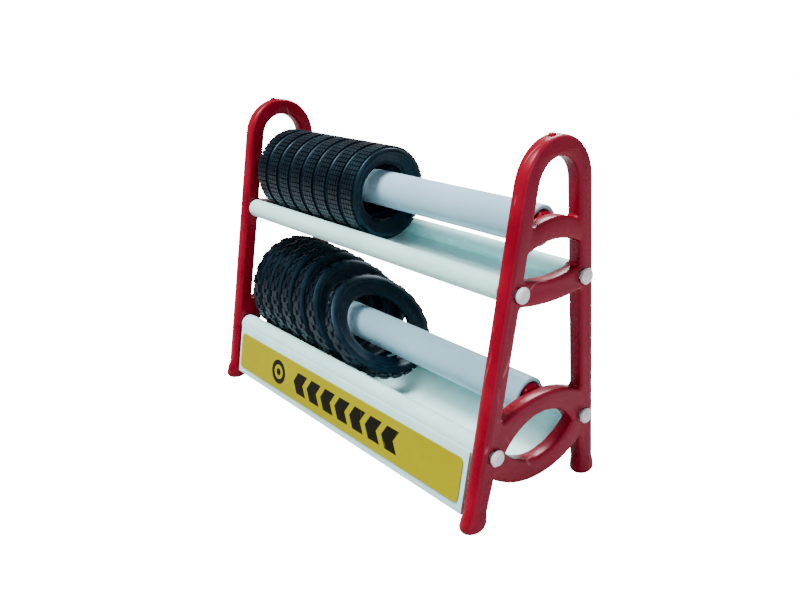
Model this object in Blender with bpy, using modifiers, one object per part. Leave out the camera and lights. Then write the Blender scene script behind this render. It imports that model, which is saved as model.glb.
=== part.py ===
# Tyre storage rack, a scale-model one: two moulded end frames, two shelves with a round tube
# above each, a label on the front board, and two rows of tyres threaded on the tubes.
# Metres, +Z up. X runs along the rack, the front with the label faces -Y.
# The origin is on the floor under the middle of the rack.

from math import acos, asin, atan2, cos, degrees, hypot, pi, radians, sin, sqrt

import bmesh
import bpy
from mathutils import Matrix, Vector

MM = 0.001

# ---- driving dimensions ----
RACK_LENGTH = 89.4 * MM          # over the outer faces of the end frames
FRAME_HEIGHT = 70.0 * MM
BASE_HALF_DEPTH = 18.0 * MM      # leg's outer edge, at the floor
TOP_RADIUS = 8.95 * MM           # outer radius of the round top
FRAME_THICKNESS = 3.1 * MM
BAR_WIDTH = 3.6 * MM             # width of the legs and the top arch
FRAME_EDGE = 0.7 * MM            # rounding of the moulded edges
FOOT_BULGE = 0.55 * MM           # how far a foot swells beyond the frame's faces
FOOT_SPREAD = 2.85 * MM          # half depth of a foot
FOOT_RISE = 4.6 * MM             # how far it tapers up the leg
FOOT_DROP = 1.6 * MM             # and rounds off below its widest part
FOOT_CENTRE_Z = 1.3 * MM
LEG_END_Z = 1.1 * MM             # the leg stops inside its foot

CLEARANCE = 0.3 * MM             # between separate pieces
LABEL_CLEARANCE = 0.1 * MM

TUBE_RADIUS = 3.75 * MM
TUBE_WALL = 0.8 * MM
SPIGOT_LENGTH = 4.0 * MM
UPPER_TUBE_Z = 54.0 * MM
LOWER_TUBE_Z = 21.2 * MM

RAIL_RADIUS = 2.15 * MM
TROUGH_THICKNESS = 1.0 * MM
PIN_RADIUS = 0.8 * MM
PIN_HEAD_RADIUS = 1.45 * MM
PIN_HEAD_HEIGHT = 0.9 * MM

UPPER_RAIL_Y = 8.7 * MM
UPPER_RAIL_Z = 44.1 * MM
UPPER_TROUGH_DEPTH = 4.0 * MM    # trough's underside below the rail centres
LOWER_RAIL_Y = 12.7 * MM
LOWER_RAIL_Z = 14.6 * MM
LOWER_TROUGH_DEPTH = 7.0 * MM

FASCIA_TOP_Z = 14.8 * MM
FASCIA_BOTTOM_Z = 2.2 * MM
FASCIA_THICKNESS = 1.2 * MM
FASCIA_SETBACK = 0.8 * MM        # behind the legs' front edges
LABEL_MARGIN = 1.9 * MM          # from the end frames
LABEL_HEIGHT = 9.0 * MM
LABEL_THICKNESS = 0.15 * MM
LABEL_CORNER = 1.0 * MM

UPPER_TYRE = {"radius": 10.1 * MM, "width": 4.5 * MM, "hole": 5.9 * MM, "lip": 8.4 * MM, "web": 1.2 * MM}
LOWER_TYRE = {"radius": 12.9 * MM, "width": 3.4 * MM, "hole": 8.0 * MM, "lip": 11.0 * MM, "web": 1.2 * MM}
TYRE_SHOULDER = 0.6 * MM
UPPER_TYRE_COUNT = 8
UPPER_ROW_GAP = 3.4 * MM         # inner face of the left frame to the side of the first tyre
LOWER_ROW_GAP = 1.7 * MM         # the same, to the top of the first leaning tyre
LOWER_TYRE_LEANS = (6.0, 8.5, 11.5, 15.5, 21.0, 30.0, 44.0)   # degrees, tops towards the left
TYRE_STEPS = 24

# ---- worked out from them ----
HALF_LENGTH = RACK_LENGTH / 2
INNER_HALF = HALF_LENGTH - FRAME_THICKNESS
TOP_CENTRE_Z = FRAME_HEIGHT - TOP_RADIUS
LEG_ANGLE = acos(TOP_RADIUS / hypot(BASE_HALF_DEPTH, TOP_CENTRE_Z)) - atan2(TOP_CENTRE_Z, BASE_HALF_DEPTH)
BAR_ACROSS = BAR_WIDTH / cos(LEG_ANGLE)


def leg_outside(z):
    """Half depth of the frame at a height."""
    return BASE_HALF_DEPTH - z * sin(LEG_ANGLE) / cos(LEG_ANGLE)


def leg_inside(z):
    return leg_outside(z) - BAR_ACROSS


# ---- general helpers ----
def clear_scene():
    for old in list(bpy.data.objects):
        bpy.data.objects.remove(old, do_unlink=True)


def collection(name):
    made = bpy.data.collections.new(name)
    bpy.context.scene.collection.children.link(made)
    return made


def material(name, colour, roughness):
    mat = bpy.data.materials.new(name)
    mat.use_nodes = True
    shader = mat.node_tree.nodes["Principled BSDF"]
    shader.inputs["Base Color"].default_value = (*colour, 1)
    shader.inputs["Roughness"].default_value = roughness
    return mat


def finish(obj, name, mat):
    obj.name = name
    obj.data.name = name
    obj.data.materials.clear()
    obj.data.materials.append(mat)
    obj.data.shade_smooth()
    obj.data.set_sharp_from_angle(angle=radians(35))
    return obj


def mesh_object(name, bm, home):
    data = bpy.data.meshes.new(name)
    bm.to_mesh(data)
    bm.free()
    obj = bpy.data.objects.new(name, data)
    home.objects.link(obj)
    return obj


def turn_to_x(bm):
    """Turns what was built about Z to lie along X."""
    bmesh.ops.rotate(bm, verts=bm.verts, cent=(0, 0, 0), matrix=Matrix.Rotation(pi / 2, 3, "Y"))


def rod(name, radius, start, end, y, z, home, sides=24):
    """A solid cylinder along X."""
    bm = bmesh.new()
    bmesh.ops.create_cone(bm, cap_ends=True, segments=sides, radius1=radius, radius2=radius,
                          depth=abs(end - start))
    turn_to_x(bm)
    bmesh.ops.translate(bm, verts=bm.verts, vec=((start + end) / 2, y, z))
    return mesh_object(name, bm, home)


def join(target, others, operation="UNION"):
    """Unites the others with the target, or cuts them from it, and drops them."""
    bpy.context.view_layer.update()
    for other in others:
        step = target.modifiers.new(other.name, "BOOLEAN")
        step.object = other
        step.operation = operation
        step.solver = "EXACT"
    graph = bpy.context.evaluated_depsgraph_get()
    result = bpy.data.meshes.new_from_object(target.evaluated_get(graph))
    target.modifiers.clear()
    target.data = result
    for other in others:
        bpy.data.objects.remove(other, do_unlink=True)
    return target


# ---- flat outlines, drawn in Y and Z ----
def arc(centre_y, centre_z, radius, start, end, steps):
    """Points on an arc, angles in degrees from +Y towards +Z."""
    turns = [radians(start + (end - start) * k / steps) for k in range(steps + 1)]
    return [(centre_y + radius * cos(t), centre_z + radius * sin(t)) for t in turns]


def bow(half_width, middle_z, end_z, steps):
    """An arc from -half_width to +half_width that passes through middle_z."""
    rise = middle_z - end_z
    radius = (half_width ** 2 + rise ** 2) / (2 * abs(rise))
    centre_z = middle_z - radius if rise > 0 else middle_z + radius
    spread = degrees(asin(half_width / radius))
    if rise > 0:
        return arc(0, centre_z, radius, 90 + spread, 90 - spread, steps)
    return arc(0, centre_z, radius, 270 - spread, 270 + spread, steps)


def rounded(corners, steps=4):
    """A closed outline whose corners, each (y, z, radius), are rounded; radius 0 stays sharp."""
    points = []
    count = len(corners)
    for k, (y, z, radius) in enumerate(corners):
        here = Vector((y, z))
        if radius == 0:
            points.append((y, z))
            continue
        before = (Vector(corners[k - 1][:2]) - here).normalized()
        after = (Vector(corners[(k + 1) % count][:2]) - here).normalized()
        half = before.angle(after) / 2
        reach = radius * cos(half) / sin(half)
        centre = here + (before + after).normalized() * radius / sin(half)
        first = here + before * reach - centre
        last = here + after * reach - centre
        sweep = first.angle_signed(last)
        for s in range(steps + 1):
            spoke = first.copy()
            spoke.rotate(Matrix.Rotation(-sweep * s / steps, 2))
            points.append(tuple(centre + spoke))
    return points


def sharp(points):
    return [(y, z, 0) for y, z in points]


def plate(name, outlines, thickness, edge, home, edge_steps=2):
    """A flat plate across X, centred at X = 0; outlines after the first are holes."""
    curve = bpy.data.curves.new(name, "CURVE")
    curve.dimensions = "2D"
    curve.fill_mode = "BOTH"
    curve.extrude = thickness / 2 - edge
    curve.bevel_depth = edge
    curve.offset = -edge
    curve.bevel_resolution = edge_steps
    for outline in outlines:
        spline = curve.splines.new("POLY")
        spline.points.add(len(outline) - 1)
        for point, (y, z) in zip(spline.points, outline):
            point.co = (y, z, 0, 1)
        spline.use_cyclic_u = True
    drawn = bpy.data.objects.new(name, curve)
    home.objects.link(drawn)
    drawn.rotation_euler = (pi / 2, 0, pi / 2)
    bpy.context.view_layer.update()
    graph = bpy.context.evaluated_depsgraph_get()
    data = bpy.data.meshes.new_from_object(drawn.evaluated_get(graph))
    data.transform(drawn.matrix_world)
    bm = bmesh.new()
    bm.from_mesh(data)
    bmesh.ops.remove_doubles(bm, verts=bm.verts, dist=0.002 * MM)
    bmesh.ops.dissolve_limit(bm, angle_limit=0.001, verts=bm.verts, edges=bm.edges)
    bmesh.ops.recalc_face_normals(bm, faces=bm.faces)
    bm.to_mesh(data)
    bm.free()
    bpy.data.objects.remove(drawn, do_unlink=True)
    obj = bpy.data.objects.new(name, data)
    home.objects.link(obj)
    return obj


# ---- end frames ----
UPPER_BAR_TOP_Z = 56.3 * MM
UPPER_BAR_END_Z = 54.7 * MM
UPPER_WINDOW_TOP_Z = 52.2 * MM
UPPER_WINDOW_SIDE_Z = 50.7 * MM
UPPER_WINDOW_FLOOR_Z = 45.2 * MM
UPPER_WINDOW_SILL_Z = 46.2 * MM
UPPER_WINDOW_HALF = 7.0 * MM
UPPER_BAND_MIDDLE_Z = 40.8 * MM
UPPER_BAND_END_Z = 41.5 * MM
LOWER_BAR_TOP_Z = 23.0 * MM
LOWER_BAR_END_Z = 20.4 * MM
LOWER_WINDOW_TOP_Z = 19.2 * MM
LOWER_WINDOW_FLOOR_Z = 10.0 * MM
LOWER_WINDOW_CORNER_Z = 14.2 * MM
LOWER_WINDOW_HALF = 9.6 * MM
LOWER_BAND_MIDDLE_Z = 5.6 * MM
LOWER_BAND_END_Z = 9.6 * MM
WINDOW_CORNER = 1.2 * MM


def frame_outline():
    """Round top, sloping legs, and the arch between the feet."""
    slope = degrees(LEG_ANGLE)
    top = arc(0, TOP_CENTRE_Z, TOP_RADIUS, slope, 180 - slope, 18)
    inner = leg_inside(LOWER_BAND_END_Z) - WINDOW_CORNER / 2
    under = bow(inner, LOWER_BAND_MIDDLE_Z, LOWER_BAND_END_Z, 14)
    left_foot = [(-leg_outside(LEG_END_Z), LEG_END_Z), (-leg_inside(LEG_END_Z), LEG_END_Z)]
    right_foot = [(leg_inside(LEG_END_Z), LEG_END_Z), (leg_outside(LEG_END_Z), LEG_END_Z)]
    return top + left_foot + under + right_foot


def frame_windows():
    """Holes for the view through the frame, top to bottom."""
    slope = degrees(LEG_ANGLE)
    arch = arc(0, TOP_CENTRE_Z, TOP_RADIUS - BAR_WIDTH, slope, 180 - slope, 14)
    sill = bow(leg_inside(UPPER_BAR_END_Z), UPPER_BAR_TOP_Z, UPPER_BAR_END_Z, 8)
    top = rounded([(y, z, WINDOW_CORNER / 2 if k in (0, 8) else 0) for k, (y, z) in enumerate(sill)] + sharp(arch))
    lens_top = bow(UPPER_WINDOW_HALF, UPPER_WINDOW_TOP_Z, UPPER_WINDOW_SIDE_Z, 8)
    lens_floor = bow(UPPER_WINDOW_HALF + 0.6 * MM, UPPER_WINDOW_FLOOR_Z, UPPER_WINDOW_SILL_Z, 8)
    upper = rounded([(y, z, WINDOW_CORNER / 2 if k in (0, 8) else 0) for k, (y, z) in enumerate(lens_top)]
                    + [(y, z, WINDOW_CORNER / 2 if k in (0, 8) else 0)
                       for k, (y, z) in enumerate(reversed(lens_floor))])
    band_half = leg_inside(UPPER_BAND_END_Z)
    band = bow(band_half, UPPER_BAND_MIDDLE_Z, UPPER_BAND_END_Z, 8)
    hump = bow(leg_inside(LOWER_BAR_END_Z), LOWER_BAR_TOP_Z, LOWER_BAR_END_Z, 10)
    middle = rounded([(y, z, WINDOW_CORNER / 2 if k in (0, 8) else 0) for k, (y, z) in enumerate(band)]
                     + [(y, z, WINDOW_CORNER / 2 if k in (0, 10) else 0) for k, (y, z) in enumerate(reversed(hump))])
    eye_top = bow(LOWER_WINDOW_HALF, LOWER_WINDOW_TOP_Z, LOWER_WINDOW_CORNER_Z, 14)
    eye_floor = bow(LOWER_WINDOW_HALF, LOWER_WINDOW_FLOOR_Z, LOWER_WINDOW_CORNER_Z, 12)
    eye = eye_top + list(reversed(eye_floor))[1:-1]
    return [top, upper, middle, eye]


def pin_holes():
    radius = PIN_RADIUS + CLEARANCE
    places = [(UPPER_RAIL_Y, UPPER_RAIL_Z), (LOWER_RAIL_Y, LOWER_RAIL_Z)]
    return [arc(side * y, z, radius, 0, 330, 11) for y, z in places for side in (-1, 1)]


def foot(name, x, y, home):
    """The leg's swollen end: tapered into the leg, flat where it stands on the floor."""
    bm = bmesh.new()
    bmesh.ops.create_uvsphere(bm, u_segments=18, v_segments=10, radius=1)
    bmesh.ops.scale(bm, verts=bm.verts, vec=(FRAME_THICKNESS / 2 + FOOT_BULGE, FOOT_SPREAD, FOOT_RISE))
    below = [v for v in bm.verts if v.co.z < 0]
    bmesh.ops.scale(bm, verts=below, vec=(1, 1, FOOT_DROP / FOOT_RISE))
    follow_leg = Matrix.Shear("XY", 4, (0, -sin(LEG_ANGLE) / cos(LEG_ANGLE) * (1 if y > 0 else -1)))
    bmesh.ops.transform(bm, matrix=follow_leg, verts=bm.verts)
    bmesh.ops.translate(bm, verts=bm.verts, vec=(x, y, FOOT_CENTRE_Z))
    cut = bmesh.ops.bisect_plane(bm, geom=bm.verts[:] + bm.edges[:] + bm.faces[:], dist=1e-7,
                                 plane_co=(0, 0, 0), plane_no=(0, 0, -1), clear_outer=True)
    rim = [e for e in cut["geom_cut"] if isinstance(e, bmesh.types.BMEdge)]
    bmesh.ops.edgeloop_fill(bm, edges=rim)
    bmesh.ops.recalc_face_normals(bm, faces=bm.faces)
    return mesh_object(name, bm, home)


def end_frame(name, side, home):
    """side is -1 for the left frame and 1 for the right one."""
    middle_x = side * (HALF_LENGTH - FRAME_THICKNESS / 2)
    frame = plate(name, [frame_outline()] + frame_windows() + pin_holes(), FRAME_THICKNESS, FRAME_EDGE, home)
    frame.data.transform(Matrix.Translation((middle_x, 0, 0)))
    root = side * (INNER_HALF + FRAME_EDGE / 3)
    tip = side * (INNER_HALF - SPIGOT_LENGTH)
    extras = []
    for k, z in enumerate((UPPER_TUBE_Z, LOWER_TUBE_Z)):
        extras.append(rod(f"spigot_{k}", TUBE_RADIUS - TUBE_WALL - CLEARANCE, root, tip, 0, z, home))
    for k, end in enumerate((-1, 1)):
        centre_y = end * (leg_outside(FOOT_CENTRE_Z) + leg_inside(FOOT_CENTRE_Z)) / 2
        extras.append(foot(f"foot_{k}", middle_x, centre_y, home))
    return join(frame, extras)


# ---- shelves ----
def pin(name, side, y, z, home):
    """Round pin through the end frame, with the flattened head outside it."""
    start = side * (INNER_HALF - 1.0 * MM)
    under_head = side * (HALF_LENGTH + CLEARANCE)
    crown = under_head + side * PIN_HEAD_HEIGHT
    shaft = rod(name, PIN_RADIUS, start, under_head + side * 0.2 * MM, y, z, home, 16)
    bm = bmesh.new()
    bmesh.ops.create_cone(bm, cap_ends=True, segments=20, radius1=PIN_HEAD_RADIUS,
                          radius2=PIN_HEAD_RADIUS * 0.75, depth=PIN_HEAD_HEIGHT)
    turn_to_x(bm)
    if side < 0:
        bmesh.ops.rotate(bm, verts=bm.verts, cent=(0, 0, 0), matrix=Matrix.Rotation(pi, 3, "Z"))
    bmesh.ops.translate(bm, verts=bm.verts, vec=((under_head + crown) / 2, y, z))
    head = mesh_object(name + "_head", bm, home)
    return [shaft, head]


def trough_outline(rail_y, rail_z, depth):
    """Section of the curved web that joins the rails."""
    under = bow(rail_y, rail_z - depth, rail_z, 18)
    rise = depth - TROUGH_THICKNESS
    over = bow(rail_y, rail_z - rise, rail_z + 0.1 * MM, 18)
    return under + list(reversed(over))


def shelf(name, rail_y, rail_z, depth, home):
    end_x = INNER_HALF - CLEARANCE
    web = plate(name, [trough_outline(rail_y, rail_z, depth)], 2 * end_x - 0.2 * MM, 0, home, 0)
    extras = []
    for k, y in enumerate((-rail_y, rail_y)):
        extras.append(rod(f"rail_{k}", RAIL_RADIUS, -end_x, end_x, y, rail_z, home, 28))
        for side in (-1, 1):
            extras += pin(f"pin_{k}_{side}", side, y, rail_z, home)
    return join(web, extras)


def board_slope():
    """The front board lies along the legs: where its face is at a height."""
    tilt = cos(LEG_ANGLE)
    return lambda z: -(leg_outside(z) - FASCIA_SETBACK / tilt)


def fascia(name, home):
    face = board_slope()
    back = FASCIA_THICKNESS / cos(LEG_ANGLE)
    corners = [(face(FASCIA_BOTTOM_Z), FASCIA_BOTTOM_Z, 0.4 * MM),
               (face(FASCIA_TOP_Z), FASCIA_TOP_Z, 0.5 * MM),
               (-LOWER_RAIL_Y, FASCIA_TOP_Z + 0.4 * MM, 0),
               (-LOWER_RAIL_Y, FASCIA_TOP_Z - 1.4 * MM, 0),
               (face(FASCIA_TOP_Z) + back, FASCIA_TOP_Z - 2.6 * MM, 0),
               (face(FASCIA_BOTTOM_Z) + back, FASCIA_BOTTOM_Z, 0.4 * MM)]
    return plate(name, [rounded(corners)], 2 * (INNER_HALF - FOOT_BULGE - CLEARANCE), 0, home, 0)


def label(name, home):
    """Thin rounded sheet on the front board."""
    half = INNER_HALF - LABEL_MARGIN
    tall = LABEL_HEIGHT / 2
    corners = [(-half, -tall, LABEL_CORNER), (half, -tall, LABEL_CORNER),
               (half, tall, LABEL_CORNER), (-half, tall, LABEL_CORNER)]
    sheet = plate(name, [rounded(corners)], LABEL_THICKNESS, 0, home, 0)
    face = board_slope()
    middle_z = (FASCIA_BOTTOM_Z + FASCIA_TOP_Z) / 2
    away = LABEL_CLEARANCE + LABEL_THICKNESS / 2
    outward = Vector((0, -cos(LEG_ANGLE), sin(LEG_ANGLE)))
    centre = Vector((0, face(middle_z), middle_z)) + outward * away
    stand = Matrix.Rotation(-pi / 2, 4, "Z")
    lean = Matrix.Rotation(-LEG_ANGLE, 4, "X")
    sheet.data.transform(Matrix.Translation(centre) @ lean @ stand)
    return sheet


# ---- tubes ----
def tube(name, z, home):
    half = INNER_HALF - CLEARANCE
    bore = TUBE_RADIUS - TUBE_WALL
    profile = [(TUBE_RADIUS, half), (TUBE_RADIUS, -half), (bore, -half), (bore, half)]
    made = turned(name, profile, 36, home)
    made.location = (0, 0, z)
    made.rotation_euler = (0, pi / 2, 0)
    return made


def turned(name, profile, steps, home):
    """A closed profile of (radius, height) turned about local Z."""
    data = bpy.data.meshes.new(name)
    count = len(profile)
    data.from_pydata([(r, 0, h) for r, h in profile], [(k, (k + 1) % count) for k in range(count)], [])
    made = bpy.data.objects.new(name, data)
    home.objects.link(made)
    screw = made.modifiers.new("turn", "SCREW")
    screw.axis = "Z"
    screw.angle = 2 * pi
    screw.steps = steps
    screw.render_steps = steps
    screw.use_merge_vertices = True
    screw.merge_threshold = 0.00001
    return made


# ---- tyres ----
def tyre_profile(size):
    """Tread, shoulders, the flat lip of each side, and the dish down to the thin web."""
    radius = size["radius"]
    half = size["width"] / 2
    web = size["web"] / 2
    flat = half - TYRE_SHOULDER
    down = [(radius, flat), (radius, -flat)]
    lower = [(radius - TYRE_SHOULDER, -half), (size["lip"], -half), (size["hole"] + 0.5 * MM, -web),
             (size["hole"], -web / 2)]
    return down + lower + [(r, -h) for r, h in reversed(lower)]


def lean_against(size, before, lean, height):
    """Where along the tube a tyre's centre goes so that its top rests against the tyre before it."""
    x, z, tilt = before
    half = size["width"] / 2
    face = x + half * cos(tilt), z + half * sin(tilt)
    top = -half * cos(lean) - size["radius"] * sin(lean), height - half * sin(lean) + size["radius"] * cos(lean)
    return face[0] - top[0] + (CLEARANCE - (top[1] - face[1]) * sin(tilt)) / cos(tilt)


def seat_height(size, lean, rail_y, rail_z):
    """Height of a leaning tyre's centre where it rests on both rails, with the usual clearance."""
    drop = (size["width"] / 2 - TYRE_SHOULDER) * sin(lean)
    wanted = RAIL_RADIUS + CLEARANCE
    low = rail_z
    high = rail_z + size["radius"] + wanted
    for _ in range(40):
        centre = (low + high) / 2
        rim = [radians(0.5 * k) for k in range(181)]
        nearest = min(hypot(size["radius"] * cos(t) - rail_y,
                            centre - drop - size["radius"] * cos(lean) * sin(t) - rail_z) for t in rim)
        inside = centre - drop - rail_z < size["radius"] * cos(lean) * sqrt(1 - min(1, rail_y / size["radius"]) ** 2)
        if nearest < wanted or inside:
            low = centre
        else:
            high = centre
    return high


def tyre(name, size, x, z, lean, home):
    made = turned(name, tyre_profile(size), TYRE_STEPS, home)
    made.location = (x, 0, z)
    made.rotation_euler = (0, pi / 2 - lean, 0)
    return made


def tyres(home, mats):
    width = UPPER_TYRE["width"]
    height = seat_height(UPPER_TYRE, 0, UPPER_RAIL_Y, UPPER_RAIL_Z)
    for k in range(UPPER_TYRE_COUNT):
        x = UPPER_ROW_GAP - INNER_HALF + width / 2 + k * (width + CLEARANCE)
        finish(tyre("tmp", UPPER_TYRE, x, height, 0, home), f"tyre_upper_{k + 1}", mats["rubber"])
    place = None
    for k, lean in enumerate(radians(value) for value in LOWER_TYRE_LEANS):
        height = seat_height(LOWER_TYRE, lean, LOWER_RAIL_Y, LOWER_RAIL_Z)
        if place:
            x = lean_against(LOWER_TYRE, place, lean, height)
        else:
            x = LOWER_ROW_GAP - INNER_HALF + LOWER_TYRE["width"] / 2 * cos(lean) + LOWER_TYRE["radius"] * sin(lean)
        place = (x, height, lean)
        finish(tyre("tmp", LOWER_TYRE, x, height, lean, home), f"tyre_lower_{k + 1}", mats["rubber"])


def main():
    clear_scene()
    home = collection("tyre_rack")
    mats = {"red": material("red_plastic", (0.62, 0.02, 0.03), 0.3),
            "white": material("white_plastic", (0.80, 0.83, 0.83), 0.35),
            "rubber": material("black_rubber", (0.02, 0.022, 0.03), 0.6),
            "yellow": material("yellow_label", (0.62, 0.55, 0.0), 0.4)}
    finish(end_frame("frame", -1, home), "end_frame_left", mats["red"])
    finish(end_frame("frame", 1, home), "end_frame_right", mats["red"])
    finish(shelf("shelf", UPPER_RAIL_Y, UPPER_RAIL_Z, UPPER_TROUGH_DEPTH, home), "upper_shelf", mats["white"])
    lower = shelf("shelf", LOWER_RAIL_Y, LOWER_RAIL_Z, LOWER_TROUGH_DEPTH, home)
    finish(join(lower, [fascia("fascia", home)]), "lower_shelf", mats["white"])
    finish(label("sheet", home), "label", mats["yellow"])
    finish(tube("tube", UPPER_TUBE_Z, home), "upper_tube", mats["white"])
    finish(tube("tube", LOWER_TUBE_Z, home), "lower_tube", mats["white"])
    tyres(home, mats)


main()
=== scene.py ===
# Looks for the scale-model tyre rack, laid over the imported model. Metres, +Z up.
import math

import bmesh
import bpy
from mathutils import Matrix, Vector, noise


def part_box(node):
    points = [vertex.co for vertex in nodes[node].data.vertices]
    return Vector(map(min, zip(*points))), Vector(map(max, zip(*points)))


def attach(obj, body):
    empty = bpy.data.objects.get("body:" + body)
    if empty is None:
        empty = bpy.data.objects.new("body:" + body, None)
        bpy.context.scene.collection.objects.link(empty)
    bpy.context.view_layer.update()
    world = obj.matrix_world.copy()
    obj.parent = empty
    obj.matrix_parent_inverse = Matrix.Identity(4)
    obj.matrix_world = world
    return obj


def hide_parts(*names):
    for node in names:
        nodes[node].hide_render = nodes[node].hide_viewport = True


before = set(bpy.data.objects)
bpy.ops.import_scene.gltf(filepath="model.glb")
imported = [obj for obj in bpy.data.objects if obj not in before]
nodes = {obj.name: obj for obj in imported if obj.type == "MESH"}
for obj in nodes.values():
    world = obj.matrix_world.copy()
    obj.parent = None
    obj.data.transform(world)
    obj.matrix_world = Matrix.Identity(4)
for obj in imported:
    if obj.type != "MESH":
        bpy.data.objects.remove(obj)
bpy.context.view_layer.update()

mm = 0.001
print("frame loaded:", len(nodes), "nodes")


# ---- materials ----
def addNode(tree, kind, values=None, **settings):
    made = tree.nodes.new(kind)
    for key, value in settings.items():
        setattr(made, key, value)
    for key, value in (values or {}).items():
        if isinstance(value, bpy.types.NodeSocket):
            tree.links.new(value, made.inputs[key])
        else:
            made.inputs[key].default_value = value
    return made


def maths(tree, operation, first, second=0.0, third=0.0):
    return addNode(tree, "ShaderNodeMath", {0: first, 1: second, 2: third}, operation=operation).outputs[0]


def rangeOf(tree, value, low, high, toLow=0.0, toHigh=1.0, smooth=True):
    kind = "SMOOTHSTEP" if smooth else "LINEAR"
    made = addNode(tree, "ShaderNodeMapRange", {"Value": value, "From Min": low, "From Max": high,
                                                "To Min": toLow, "To Max": toHigh}, interpolation_type=kind)
    return made.outputs["Result"]


def lengthOf(tree, first, second):
    squares = [maths(tree, "POWER", value, 2.0) for value in (first, second)]
    return maths(tree, "SQRT", maths(tree, "ADD", *squares))


def blendColours(tree, factor, first, second, mode="MIX"):
    made = addNode(tree, "ShaderNodeMix", data_type="RGBA", blend_type=mode)
    for key, value in ((0, factor), (6, first), (7, second)):
        if isinstance(value, bpy.types.NodeSocket):
            tree.links.new(value, made.inputs[key])
        else:
            made.inputs[key].default_value = value
    return made.outputs[2]


def makeGroup(name, inputs, outputs):
    group = bpy.data.node_groups.new(name, "ShaderNodeTree")
    for label, kind, value in inputs:
        socket = group.interface.new_socket(label, in_out="INPUT", socket_type=kind)
        if value is not None:
            socket.default_value = value
    for label in outputs:
        group.interface.new_socket(label, in_out="OUTPUT", socket_type="NodeSocketFloat")
    return group, addNode(group, "NodeGroupInput").outputs, addNode(group, "NodeGroupOutput")


def mouldedDetail():
    # cloudy colour, fine skin and thin curved scratches, as on handled moulded plastic
    group, given, result = makeGroup("mouldedDetail", [
        ("Vector", "NodeSocketVector", None), ("Cloud Scale", "NodeSocketFloat", 90.0),
        ("Skin Scale", "NodeSocketFloat", 2400.0), ("Scratch Scale", "NodeSocketFloat", 120.0),
        ("Scratch Width", "NodeSocketFloat", 0.008)], ["Cloud", "Skin", "Scratch"])
    cloud = addNode(group, "ShaderNodeTexNoise", {"Vector": given["Vector"], "Scale": given["Cloud Scale"],
                                                  "Detail": 4.0, "Roughness": 0.55})
    skin = addNode(group, "ShaderNodeTexNoise", {"Vector": given["Vector"], "Scale": given["Skin Scale"],
                                                 "Detail": 2.0})
    stretched = addNode(group, "ShaderNodeMapping", {"Vector": given["Vector"], "Scale": (1.0, 0.35, 0.22),
                                                     "Rotation": (0.4, 0.3, 0.2)})
    lines = addNode(group, "ShaderNodeTexNoise", {"Vector": stretched.outputs[0], "Scale": given["Scratch Scale"],
                                                  "Detail": 1.0})
    patches = addNode(group, "ShaderNodeTexNoise", {"Vector": given["Vector"], "Scale": 260.0})
    away = maths(group, "ABSOLUTE", maths(group, "SUBTRACT", lines.outputs[0], 0.5))
    thin = maths(group, "SUBTRACT", 1.0, maths(group, "DIVIDE", away, given["Scratch Width"]))
    thin = maths(group, "MAXIMUM", thin, 0.0)
    scratch = maths(group, "MULTIPLY", thin, rangeOf(group, patches.outputs[0], 0.5, 0.62))
    group.links.new(cloud.outputs[0], result.inputs["Cloud"])
    group.links.new(skin.outputs[0], result.inputs["Skin"])
    group.links.new(scratch, result.inputs["Scratch"])
    return group


detailGroup = mouldedDetail()


def startMaterial(name, finish):
    mat = bpy.data.materials.new(name)
    mat.use_nodes = True
    tree = mat.node_tree
    shader = tree.nodes["Principled BSDF"]
    for key, value in finish.items():
        shader.inputs[key].default_value = value
    where = addNode(tree, "ShaderNodeTexCoord").outputs["Object"]
    return mat, tree, shader, where


def placeDetail(tree, where, **values):
    made = addNode(tree, "ShaderNodeGroup")
    made.node_tree = detailGroup
    tree.links.new(where, made.inputs["Vector"])
    for key, value in values.items():
        made.inputs[key.replace("_", " ")].default_value = value
    return made.outputs


def addBump(tree, shader, height, strength, distance):
    bump = addNode(tree, "ShaderNodeBump", {"Height": height, "Strength": strength, "Distance": distance})
    tree.links.new(bump.outputs[0], shader.inputs["Normal"])


# the greyer, paler red mixed onto the outer faces of the frames is painted sheen
redLook = {"bright": (0.200, 0.0001, 0.0105, 1), "deep": (0.150, 0.0001, 0.0080, 1),
           "paintedSheen": (0.215, 0.0080, 0.0280, 1), "whitened": (0.42, 0.17, 0.21, 1), "outerFace": 44.2 * mm,
           "outerBlend": 0.45 * mm, "roughness": (0.26, 0.36), "outerRoughness": 0.12, "scratchShare": 0.55,
           "finish": {"IOR": 1.5, "Specular IOR Level": 0.2, "Specular Tint": (1.0, 0.55, 0.68, 1)}}


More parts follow.
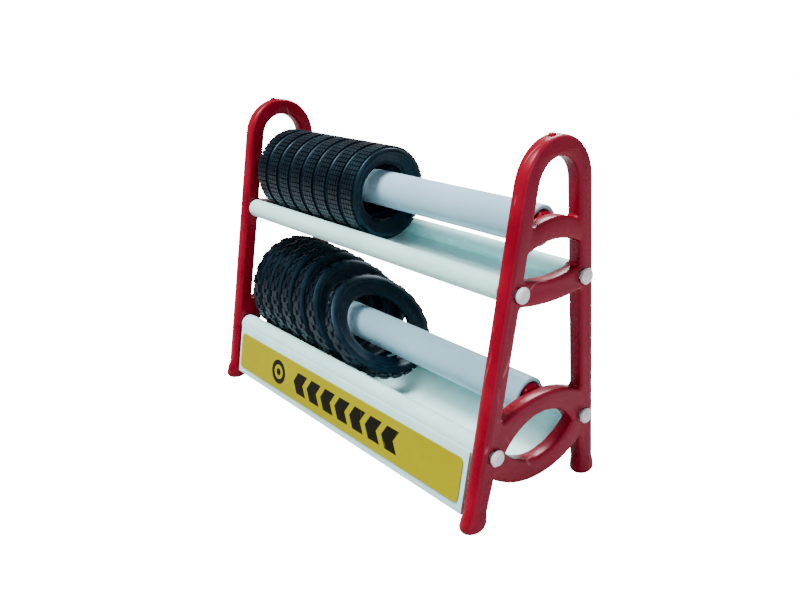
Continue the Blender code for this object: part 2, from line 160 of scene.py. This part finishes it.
def redPlastic():
    look = redLook
    mat, tree, shader, where = startMaterial("redPlastic", look["finish"])
    detail = placeDetail(tree, where, Cloud_Scale=120.0, Scratch_Scale=150.0)
    along = addNode(tree, "ShaderNodeSeparateXYZ", {0: where}).outputs[0]
    outer = rangeOf(tree, maths(tree, "ABSOLUTE", along), look["outerFace"],
                    look["outerFace"] + look["outerBlend"])
    colour = blendColours(tree, rangeOf(tree, detail["Cloud"], 0.35, 0.65), look["deep"], look["bright"])
    # the outer faces (|x| past outerFace) get a greyer red as painted sheen, varied by the cloud noise
    paintedSheenShare = maths(tree, "MULTIPLY", outer, rangeOf(tree, detail["Cloud"], 0.2, 0.8, 0.45, 0.95))
    colour = blendColours(tree, paintedSheenShare, colour, look["paintedSheen"])
    scratch = maths(tree, "MULTIPLY", detail["Scratch"], look["scratchShare"])
    colour = blendColours(tree, scratch, colour, look["whitened"])
    tree.links.new(colour, shader.inputs["Base Color"])
    rough = rangeOf(tree, detail["Cloud"], 0.3, 0.7, *look["roughness"])
    rough = maths(tree, "ADD", rough, maths(tree, "MULTIPLY", outer, look["outerRoughness"]))
    tree.links.new(rough, shader.inputs["Roughness"])
    height = maths(tree, "ADD", maths(tree, "MULTIPLY", detail["Cloud"], 0.6),
                   maths(tree, "MULTIPLY", detail["Skin"], 0.08))
    height = maths(tree, "SUBTRACT", height, maths(tree, "MULTIPLY", detail["Scratch"], 0.25))
    addBump(tree, shader, height, 0.35, 0.25 * mm)
    return mat


# the shelves are white plastic; their pale cyan colour is painted cool light
whiteLook = {"light": (0.50, 0.82, 0.82, 1), "shade": (0.43, 0.74, 0.74, 1), "mark": (0.34, 0.58, 0.58, 1)}


def whitePlastic(name, look, scratchScale, roughness):
    mat, tree, shader, where = startMaterial(name, {"IOR": 1.48, "Specular IOR Level": 0.35})
    detail = placeDetail(tree, where, Cloud_Scale=60.0, Scratch_Scale=scratchScale, Scratch_Width=0.006)
    colour = blendColours(tree, rangeOf(tree, detail["Cloud"], 0.3, 0.7), look["shade"], look["light"])
    colour = blendColours(tree, maths(tree, "MULTIPLY", detail["Scratch"], 0.5), colour, look["mark"])
    tree.links.new(colour, shader.inputs["Base Color"])
    tree.links.new(rangeOf(tree, detail["Cloud"], 0.3, 0.7, roughness - 0.05, roughness + 0.06),
                   shader.inputs["Roughness"])
    height = maths(tree, "ADD", maths(tree, "MULTIPLY", detail["Cloud"], 0.5),
                   maths(tree, "MULTIPLY", detail["Skin"], 0.1))
    addBump(tree, shader, height, 0.25, 0.2 * mm)
    return mat


# the tubes are white; this darker pale blue is painted cool light and painted shade along their sides
tubeLook = {"light": (0.31, 0.50, 0.62, 1), "shade": (0.26, 0.43, 0.54, 1), "mark": (0.19, 0.32, 0.41, 1)}
pinLook = {"light": (0.86, 0.80, 0.83, 1), "shade": (0.78, 0.55, 0.62, 1), "mark": (0.66, 0.22, 0.34, 1)}

# the tyres are black rubber; the navy tone and the blue specular tint are painted cool light
rubberLook = {"paintedGrooveShade": (0.0004, 0.0016, 0.0045, 1), "top": (0.0008, 0.0036, 0.0095, 1),
              "grey": (0.0032, 0.0105, 0.0190, 1), "greyShare": 0.5, "roughness": (0.36, 0.52),
              "ringPitch": 0.36 * mm, "ringHeight": 0.10, "ribCount": 150.0, "ribHeight": 0.05,
              "finish": {"IOR": 1.5, "Specular IOR Level": 0.28, "Specular Tint": (0.35, 0.75, 1.0, 1)}}


def blackRubber():
    # the tyre's own coordinates are in its "own" attribute, and "raised" marks the tops of the tread
    look = rubberLook
    mat, tree, shader, where = startMaterial("blackRubber", look["finish"])
    detail = placeDetail(tree, where, Cloud_Scale=260.0, Skin_Scale=3200.0)
    own = addNode(tree, "ShaderNodeAttribute", attribute_name="own").outputs["Vector"]
    raised = addNode(tree, "ShaderNodeAttribute", attribute_name="raised").outputs["Fac"]
    parts = addNode(tree, "ShaderNodeSeparateXYZ", {0: own}).outputs
    radius = lengthOf(tree, parts[1], parts[2])
    rings = maths(tree, "SINE", maths(tree, "MULTIPLY", radius, 2 * math.pi / look["ringPitch"]))
    angle = maths(tree, "ARCTAN2", parts[2], parts[1])
    ribs = maths(tree, "SINE", maths(tree, "MULTIPLY", angle, look["ribCount"]))
    # the grooves between the tread blocks are coloured darker than the tops: painted shade in the recesses
    colour = blendColours(tree, rangeOf(tree, raised, 0.1, 0.9), look["paintedGrooveShade"], look["top"])
    bloom = maths(tree, "MULTIPLY", rangeOf(tree, detail["Cloud"], 0.45, 0.72), look["greyShare"])
    colour = blendColours(tree, bloom, colour, look["grey"])
    tree.links.new(colour, shader.inputs["Base Color"])
    tree.links.new(rangeOf(tree, detail["Cloud"], 0.3, 0.7, *look["roughness"]), shader.inputs["Roughness"])
    height = maths(tree, "ADD", maths(tree, "MULTIPLY", rings, look["ringHeight"]),
                   maths(tree, "MULTIPLY", ribs, look["ribHeight"]))
    height = maths(tree, "ADD", height, maths(tree, "MULTIPLY", detail["Cloud"], 0.7))
    height = maths(tree, "ADD", height, maths(tree, "MULTIPLY", detail["Skin"], 0.15))
    addBump(tree, shader, height, 0.5, 0.15 * mm)
    return mat


labelLook = {"yellow": (0.305, 0.275, 0.0, 1), "deepYellow": (0.275, 0.245, 0.0, 1),
             "ink": (0.006, 0.0055, 0.004, 1), "softEdge": 0.06 * mm, "roughness": (0.38, 0.5),
             "middle": 8.5 * mm, "barsFrom": -15.5 * mm, "barsTo": 22.0 * mm, "barPitch": 5.4 * mm,
             "barHalfHeight": 2.5 * mm, "slant": 0.62, "filled": 0.7, "discAt": -22.0 * mm, "discRadius": 2.9 * mm,
             "finish": {"IOR": 1.45, "Specular IOR Level": 0.05, "Specular Tint": (1.0, 0.9, 0.1, 1)}}


def labelPrint():
    # a row of slanted bars after a ringed dot, printed on a yellow sheet
    look = labelLook
    mat, tree, shader, where = startMaterial("labelPrint", look["finish"])
    detail = placeDetail(tree, where, Cloud_Scale=70.0, Scratch_Scale=180.0)
    parts = addNode(tree, "ShaderNodeSeparateXYZ", {0: where}).outputs
    along = parts[0]
    up = maths(tree, "SUBTRACT", parts[2], look["middle"])
    soft = look["softEdge"]
    ragged = maths(tree, "MULTIPLY", maths(tree, "SUBTRACT", detail["Skin"], 0.5), soft)
    lean = maths(tree, "MULTIPLY", maths(tree, "ABSOLUTE", up), look["slant"])
    leaning = maths(tree, "SUBTRACT", along, lean)
    fromStart = maths(tree, "SUBTRACT", leaning, look["barsFrom"] - 10 * look["barPitch"])
    step = maths(tree, "ADD", maths(tree, "MODULO", fromStart, look["barPitch"]), ragged)
    edge = look["barPitch"] * look["filled"]
    bars = maths(tree, "MULTIPLY", rangeOf(tree, step, 0.0, soft * 2),
                 rangeOf(tree, step, edge - soft, edge + soft, 1.0, 0.0))
    inHeight = rangeOf(tree, maths(tree, "ABSOLUTE", up), look["barHalfHeight"] - soft,
                       look["barHalfHeight"] + soft, 1.0, 0.0)
    inLength = maths(tree, "MULTIPLY", rangeOf(tree, leaning, look["barsFrom"] - soft, look["barsFrom"] + soft),
                     rangeOf(tree, leaning, look["barsTo"] - soft, look["barsTo"] + soft, 1.0, 0.0))
    bars = maths(tree, "MULTIPLY", bars, maths(tree, "MULTIPLY", inHeight, inLength))
    across = maths(tree, "SUBTRACT", along, look["discAt"])
    reach = lengthOf(tree, across, up)
    ring = maths(tree, "ABSOLUTE", maths(tree, "SUBTRACT", reach, look["discRadius"] * 0.8))
    ringHalf, dotRadius = look["discRadius"] * 0.2, look["discRadius"] * 0.3
    ring = rangeOf(tree, ring, ringHalf - soft, ringHalf + soft, 1.0, 0.0)
    dot = rangeOf(tree, reach, dotRadius - soft, dotRadius + soft, 1.0, 0.0)
    ink = maths(tree, "MAXIMUM", bars, maths(tree, "MAXIMUM", ring, dot))
    ink = maths(tree, "MULTIPLY", ink, rangeOf(tree, detail["Scratch"], 0.3, 0.9, 1.0, 0.7))
    sheet = blendColours(tree, rangeOf(tree, detail["Cloud"], 0.3, 0.7), look["deepYellow"], look["yellow"])
    tree.links.new(blendColours(tree, ink, sheet, look["ink"]), shader.inputs["Base Color"])
    tree.links.new(rangeOf(tree, detail["Cloud"], 0.3, 0.7, *look["roughness"]), shader.inputs["Roughness"])
    height = maths(tree, "ADD", maths(tree, "MULTIPLY", ink, 0.05), maths(tree, "MULTIPLY", detail["Cloud"], 0.5))
    addBump(tree, shader, height, 0.3, 0.12 * mm)
    return mat


looks = {"red": redPlastic(), "shelf": whitePlastic("shelfPlastic", whiteLook, 140.0, 0.3),
         "tube": whitePlastic("tubePlastic", tubeLook, 220.0, 0.34),
         "pin": whitePlastic("stakedPlastic", pinLook, 900.0, 0.36),
         "rubber": blackRubber(), "label": labelPrint()}
print("materials made:", len(looks))


# ---- mesh helpers ----
def newPiece(name, bm, mat, body, sharpAngle=35):
    bmesh.ops.recalc_face_normals(bm, faces=bm.faces)
    data = bpy.data.meshes.new(name)
    bm.to_mesh(data)
    bm.free()
    piece = bpy.data.objects.new(name, data)
    bpy.context.scene.collection.objects.link(piece)
    data.materials.append(mat)
    data.shade_smooth()
    data.set_sharp_from_angle(angle=math.radians(sharpAngle))
    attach(piece, body)
    return piece


def refinedCopy(node, mat, body, sharpAngle=40):
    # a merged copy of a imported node, so that its rounded edges shade smoothly
    bm = bmesh.new()
    bm.from_mesh(nodes[node].data)
    bmesh.ops.remove_doubles(bm, verts=bm.verts, dist=0.002 * mm)
    bmesh.ops.dissolve_limit(bm, angle_limit=math.radians(0.3), verts=bm.verts, edges=bm.edges)
    piece = newPiece(node + "_piece", bm, mat, body, sharpAngle)
    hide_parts(node)
    return piece


def spinProfile(bm, points, steps):
    # points are (along, out); turned about the X axis into a closed ring
    corners = [bm.verts.new((along, 0, out)) for along, out in points]
    edges = [bm.edges.new((corners[k - 1], corners[k])) for k in range(len(corners))]
    bmesh.ops.spin(bm, geom=corners + edges, cent=(0, 0, 0), axis=(1, 0, 0), angle=2 * math.pi, steps=steps,
                   use_merge=True, use_duplicate=False)
    bmesh.ops.remove_doubles(bm, verts=bm.verts, dist=0.001 * mm)
    bmesh.ops.recalc_face_normals(bm, faces=bm.faces)


# ---- end frames ----
for name in ("end_frame_left", "end_frame_right"):
    refinedCopy(name, looks["red"], "rack")

nubShape = {"radius": 0.75 * mm, "height": 0.55 * mm, "sunk": 0.15 * mm, "offset": -1.5 * mm,
            "rounding": 0.18 * mm, "unevenness": 0.12 * mm, "fromOutside": 1.95 * mm, "crownDrop": 0.12 * mm}


def gateNub(node):
    low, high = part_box(node)
    bm = bmesh.new()
    bmesh.ops.create_cone(bm, cap_ends=True, segments=20, radius1=nubShape["radius"],
                          radius2=nubShape["radius"] * 0.8, depth=nubShape["height"])
    rim = [e for e in bm.edges if all(v.co.z > 0 for v in e.verts)]
    bmesh.ops.bevel(bm, geom=rim, offset=nubShape["rounding"], segments=3, profile=0.5, affect="EDGES", material=-1)
    for v in bm.verts:
        if v.co.z > 0:
            v.co.z += nubShape["unevenness"] * noise.noise(v.co * 1500)
    side = 1 if high.x > 0 else -1
    middle = side * (abs(high.x if side > 0 else low.x) - nubShape["fromOutside"])
    height = high.z - nubShape["crownDrop"] - nubShape["sunk"] + nubShape["height"] / 2
    bmesh.ops.translate(bm, verts=bm.verts, vec=(middle, nubShape["offset"], height))
    newPiece("gateNub_" + node.split("_")[-1], bm, looks["red"], "rack")


for name in ("end_frame_left", "end_frame_right"):
    gateNub(name)
print("end frames done")

# ---- shelves, pin heads and label ----
for name in ("upper_shelf", "lower_shelf"):
    refinedCopy(name, looks["shelf"], "rack")
refinedCopy("label", looks["label"], "rack")

pinShape = {"radius": 1.55 * mm, "thickness": 0.62 * mm, "unevenness": 0.16 * mm, "inset": 0.52 * mm,
            "upper": (8.7 * mm, 44.1 * mm), "lower": (12.7 * mm, 14.6 * mm)}


def pinHead(name, side, y, z):
    # a pin end melted into a low uneven button
    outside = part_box("upper_shelf")[1].x
    bm = bmesh.new()
    bmesh.ops.create_uvsphere(bm, u_segments=28, v_segments=16, radius=pinShape["radius"])
    bmesh.ops.rotate(bm, verts=bm.verts, cent=(0, 0, 0), matrix=Matrix.Rotation(math.pi / 2, 3, "Y"))
    bmesh.ops.scale(bm, verts=bm.verts, vec=(pinShape["thickness"] / pinShape["radius"], 1, 1))
    seed = Vector((side * 3.1, y * 900, z * 700))
    for v in bm.verts:
        wobble = noise.noise(v.co * 900 + seed)
        v.co.yz = v.co.yz * (1 + 0.10 * wobble)
        if v.co.x * side > 0:
            v.co.x += side * pinShape["unevenness"] * noise.noise(v.co * 1400 - seed)
    bmesh.ops.translate(bm, verts=bm.verts, vec=(side * (outside - pinShape["inset"]), y, z))
    newPiece(name, bm, looks["pin"], "rack", 80)


for level in ("upper", "lower"):
    y, z = pinShape[level]
    for sideName, side in (("left", -1), ("right", 1)):
        for depthName, depth in (("front", -1), ("back", 1)):
            pinHead(f"pinHead_{level}_{sideName}_{depthName}", side, depth * y, z)
print("shelves, pins and label done")

# ---- tubes ----
tubeShape = {"wall": 0.8 * mm, "endRounding": 0.18 * mm, "steps": 96}


def tubePiece(node, body):
    low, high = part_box(node)
    radius = (high.z - low.z) / 2
    inner = radius - tubeShape["wall"]
    r = tubeShape["endRounding"]
    half = high.x
    bm = bmesh.new()
    profile = [(-half, radius - r), (-half + r, radius), (half - r, radius), (half, radius - r),
               (half, inner + r), (half - r, inner), (-half + r, inner), (-half, inner + r)]
    spinProfile(bm, profile, tubeShape["steps"])
    bmesh.ops.translate(bm, verts=bm.verts, vec=(0, 0, (low.z + high.z) / 2))
    piece = newPiece(node + "_piece", bm, looks["tube"], body)
    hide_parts(node)


tubePiece("upper_tube", "upper_tube")
tubePiece("lower_tube", "lower_tube")
print("tubes done")

# ---- tyres ----
upperTyre = {"tread": 9.62 * mm, "halfTread": 1.72 * mm, "rows": 4, "columns": 60, "blockRise": 0.42 * mm,
             "blockGap": 0.11 * mm, "everyBlock": True,
             "side": [(2.02, 9.42), (2.20, 9.08), (2.25, 8.78), (2.22, 8.46), (2.10, 8.26), (1.90, 8.16),
                      (1.84, 8.02), (1.62, 7.66), (1.28, 7.18), (1.26, 6.98), (0.98, 6.62), (0.66, 6.30),
                      (0.52, 6.06), (0.30, 5.93)],
             "count": 8, "name": "tyre_upper_"}
lowerTyre = {"tread": 12.54 * mm, "halfTread": 1.36 * mm, "rows": 2, "columns": 72, "blockRise": 0.34 * mm,
             "blockGap": 0.12 * mm, "everyBlock": False,
             "side": [(1.56, 12.20), (1.68, 11.84), (1.70, 11.50), (1.66, 11.10), (1.52, 10.86), (1.34, 10.72),
                      (1.28, 10.50), (1.14, 10.02), (0.98, 9.50), (1.00, 9.28), (0.82, 8.86), (0.62, 8.46),
                      (0.50, 8.20), (0.28, 8.04)],
             "count": 7, "name": "tyre_lower_"}
lowerLeans = (6.0, 8.5, 11.5, 15.5, 21.0, 30.0, 44.0)   # degrees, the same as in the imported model
tyreTurn = 37.0


def tyreShape(look):
    bm = bmesh.new()
    rows = look["rows"]
    across = [(-look["halfTread"] + 2 * look["halfTread"] * k / rows, look["tread"]) for k in range(rows + 1)]
    side = [(along * mm, out * mm) for along, out in look["side"]]
    spinProfile(bm, across + side + [(-along, out) for along, out in reversed(side)], look["columns"])
    blocks = []
    lugs = {}
    for face in bm.faces:
        middle = face.calc_center_median()
        if math.hypot(middle.y, middle.z) < look["tread"] * 0.985 or abs(middle.x) > look["halfTread"]:
            continue
        column = int(math.floor(math.atan2(middle.z, middle.y) / (2 * math.pi) * look["columns"]))
        row = int(math.floor((middle.x + look["halfTread"]) / (2 * look["halfTread"]) * rows))
        if look["everyBlock"]:
            blocks.append(face)
        elif (column + row) % 3 < 2:
            blocks.append(face)
            lugs.setdefault((row, (column + row) // 3), []).append(face)
    if look["everyBlock"]:
        bmesh.ops.inset_individual(bm, faces=blocks, thickness=look["blockGap"], depth=0)
        bmesh.ops.inset_individual(bm, faces=blocks, thickness=0.02 * mm, depth=look["blockRise"])
    for lug in lugs.values():
        bmesh.ops.inset_region(bm, faces=lug, thickness=look["blockGap"], depth=0, use_even_offset=True,
                               use_boundary=True)
        bmesh.ops.inset_region(bm, faces=lug, thickness=0.03 * mm, depth=look["blockRise"], use_even_offset=True)
    # raised is 1 on the block tops, 0 in the grooves, where the rubber colour gets painted shade, and 0.55
    # elsewhere
    raisedVerts = {v for face in blocks for v in face.verts}
    raised = bm.verts.layers.float.new("raised")
    own = bm.verts.layers.float_vector.new("own")
    for v in bm.verts:
        out = math.hypot(v.co.y, v.co.z)
        v[raised] = 1.0 if v in raisedVerts else 0.0 if out > look["tread"] * 0.99 else 0.55
        v[own] = v.co
    return bm


def tyrePiece(look, index, lean):
    node = f"{look['name']}{index}"
    low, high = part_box(node)
    bm = tyreShape(look)
    # each tyre is turned on by the same step, so that no two treads line up
    for angle, axis in ((tyreTurn * index, "X"), (-lean, "Y")):
        turn = Matrix.Rotation(math.radians(angle), 3, axis)
        bmesh.ops.rotate(bm, verts=bm.verts, cent=(0, 0, 0), matrix=turn)
    bmesh.ops.translate(bm, verts=bm.verts, vec=(low + high) / 2)
    piece = newPiece(node + "_piece", bm, looks["rubber"], node, 38)
    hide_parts(node)


for index in range(1, upperTyre["count"] + 1):
    tyrePiece(upperTyre, index, 0.0)
for index, lean in enumerate(lowerLeans, 1):
    tyrePiece(lowerTyre, index, lean)
print("tyres done")

# ---- floor, light and camera ----
studio = {"floorSize": 30.0, "floorColour": (0.45, 0.45, 0.45, 1), "floorShade": (0.40, 0.40, 0.40, 1),
          "floorGlow": 16.0, "skyColour": (0.95, 0.98, 1.0, 1), "skyStrength": 0.30, "backdrop": 18.0}


def floorPiece():
    mat, tree, shader, where = startMaterial("paleFloor", {"Roughness": 0.7})
    cloud = addNode(tree, "ShaderNodeTexNoise", {"Vector": where, "Scale": 6.0})
    tint = rangeOf(tree, cloud.outputs[0], 0.3, 0.7, 0.985, 1.0)
    colour = blendColours(tree, tint, studio["floorShade"], studio["floorColour"])
    tree.links.new(colour, shader.inputs["Base Color"])
    shader.inputs["Emission Color"].default_value = (1, 1, 1, 1)
    seen = addNode(tree, "ShaderNodeLightPath").outputs["Is Camera Ray"]
    tree.links.new(maths(tree, "MULTIPLY", seen, studio["floorGlow"]), shader.inputs["Emission Strength"])
    bm = bmesh.new()
    bmesh.ops.create_grid(bm, x_segments=2, y_segments=2, size=studio["floorSize"] / 2)
    data = bpy.data.meshes.new("floor")
    bm.to_mesh(data)
    bm.free()
    data.materials.append(mat)
    floor = bpy.data.objects.new("floor", data)
    bpy.context.scene.collection.objects.link(floor)


def areaLight(name, place, target, size, watts, colour):
    data = bpy.data.lights.new(name, "AREA")
    data.shape = "DISK"
    data.size = size
    data.energy = watts
    data.color = colour
    lamp = bpy.data.objects.new(name, data)
    lamp.location = place
    lamp.rotation_euler = (Vector(target) - Vector(place)).to_track_quat("-Z", "Y").to_euler()
    bpy.context.scene.collection.objects.link(lamp)


def addCamera(view):
    yaw, pitch, roll = (math.radians(view[key]) for key in ("yaw", "pitch", "roll"))
    forward = Vector((-math.sin(yaw) * math.cos(pitch), math.cos(yaw) * math.cos(pitch), math.sin(pitch)))
    level = Vector((math.cos(yaw), math.sin(yaw), 0))
    over = level.cross(forward)
    right = level * math.cos(roll) + over * math.sin(roll)
    up = over * math.cos(roll) - level * math.sin(roll)
    data = bpy.data.cameras.new("camera")
    data.lens = view["lens"]
    data.sensor_width = 36.0
    data.clip_start = 0.005
    camera = bpy.data.objects.new("camera", data)
    turn = Matrix((right, up, -forward)).transposed().to_4x4()
    camera.matrix_world = Matrix.Translation(view["place"]) @ turn
    bpy.context.scene.collection.objects.link(camera)
    bpy.context.scene.camera = camera


floorPiece()
world = bpy.data.worlds.new("studioSky")
world.use_nodes = True
sky = world.node_tree.nodes["Background"]
sky.inputs[0].default_value = studio["skyColour"]
seen = addNode(world.node_tree, "ShaderNodeLightPath").outputs["Is Camera Ray"]
strength = rangeOf(world.node_tree, seen, 0, 1, studio["skyStrength"], studio["backdrop"], False)
world.node_tree.links.new(strength, sky.inputs[1])
bpy.context.scene.world = world
areaLight("keyLight", (-0.10, -0.26, 0.60), (0, 0, 0.03), 0.26, 10.5, (1.0, 0.99, 0.98))
areaLight("fillLight", (0.55, -0.20, 0.30), (0, 0, 0.03), 0.30, 1.5, (0.93, 0.97, 1.0))
areaLight("backLight", (-0.20, 0.40, 0.50), (0, 0, 0.03), 0.26, 6.5, (1.0, 1.0, 1.0))
addCamera({"place": (0.12350, -0.10264, 0.08525), "yaw": 49.677, "pitch": -19.102, "roll": 0.476, "lens": 34.553})
print("studio done")
